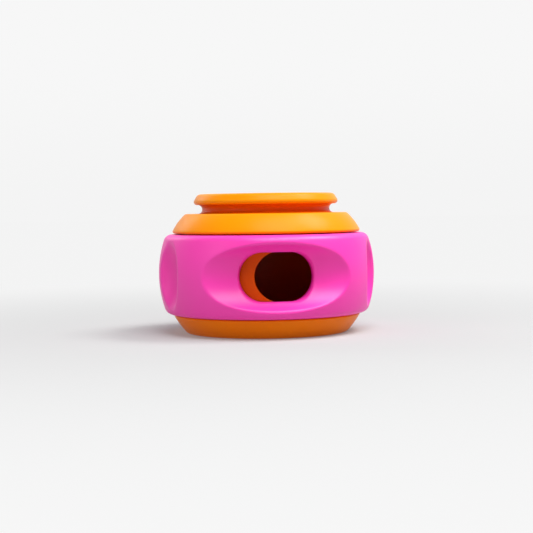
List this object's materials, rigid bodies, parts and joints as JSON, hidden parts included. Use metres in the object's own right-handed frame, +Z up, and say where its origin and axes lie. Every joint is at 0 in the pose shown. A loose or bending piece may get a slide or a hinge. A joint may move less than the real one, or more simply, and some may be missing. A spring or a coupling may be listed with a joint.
{
  "type": "treat puzzle toy",
  "caption": "Hollow treat puzzle toy for pets: a ring with scooped windows turns round a drum to bare or cover its treat hole, under a lift-off lid.",
  "frame": {"origin": "centre of the underside, on the toy's axis, where it stands", "axes": "+Z up the toy's axis through the lid, -Y through the middle of the ring's front window, +X to the right of it"},
  "size_m": [0.1, 0.095, 0.064],
  "materials": {
    "orange_shell": "satin moulded",
    "pink_ring": "satin moulded"
  },
  "bodies": {
    "pot": {"drum_base": "orange_shell"},
    "ring": {"window_ring": "pink_ring"},
    "cap": {"lid": "orange_shell"}
  },
  "joints": [
    {"name": "ring_turn", "type": "hinge", "parent": "pot", "child": "ring", "pos_m": [0, 0, 0.0273], "axis": [0, 0, 1], "continuous": true},
    {"name": "lid_lift", "type": "slide", "parent": "pot", "child": "cap", "axis": [0, 0, 1], "range_m": [0, 0.04]}
  ]
}
